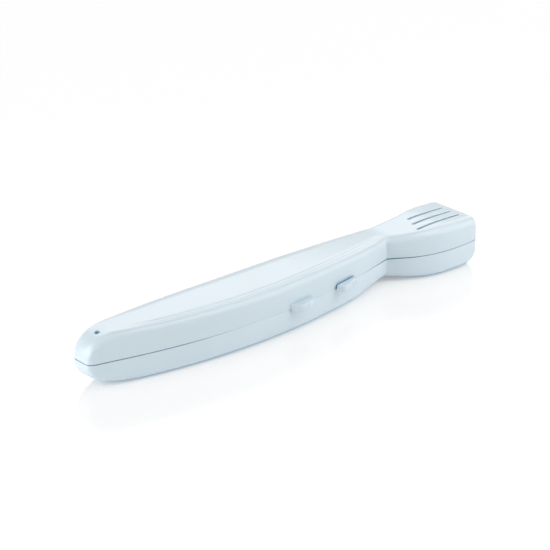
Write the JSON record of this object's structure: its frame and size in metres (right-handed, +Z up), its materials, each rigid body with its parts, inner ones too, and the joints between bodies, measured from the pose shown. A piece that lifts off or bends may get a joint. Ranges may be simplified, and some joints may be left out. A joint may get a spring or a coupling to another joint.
{
  "type": "toothbrush case",
  "caption": "Slim hinged case for one toothbrush, with a rounded nose, narrow neck and flared vented head, opened by finger tabs on its front edge.",
  "frame": {"origin": "on the floor below the centre of the closed case's box", "axes": "+X along the case from nose to head, +Y from the finger tabs to the hinges, +Z up from the base to the lid"},
  "size_m": [0.205, 0.036, 0.0225],
  "materials": {
    "shell_plastic": "glossy moulded polypropylene, pale blue",
    "pin_steel": "plain drawn wire"
  },
  "bodies": {
    "base": {"base_shell": "shell_plastic", "hinge_pin_nose_side": "pin_steel", "hinge_pin_head_side": "pin_steel"},
    "lid": {"lid_shell": "shell_plastic"}
  },
  "joints": [
    {"name": "lid_hinge", "type": "hinge", "parent": "base", "child": "lid", "pos_m": [0, 0.01586, 0.0112], "axis": [-1, 0, 0], "range_deg": [0, 175]}
  ]
}
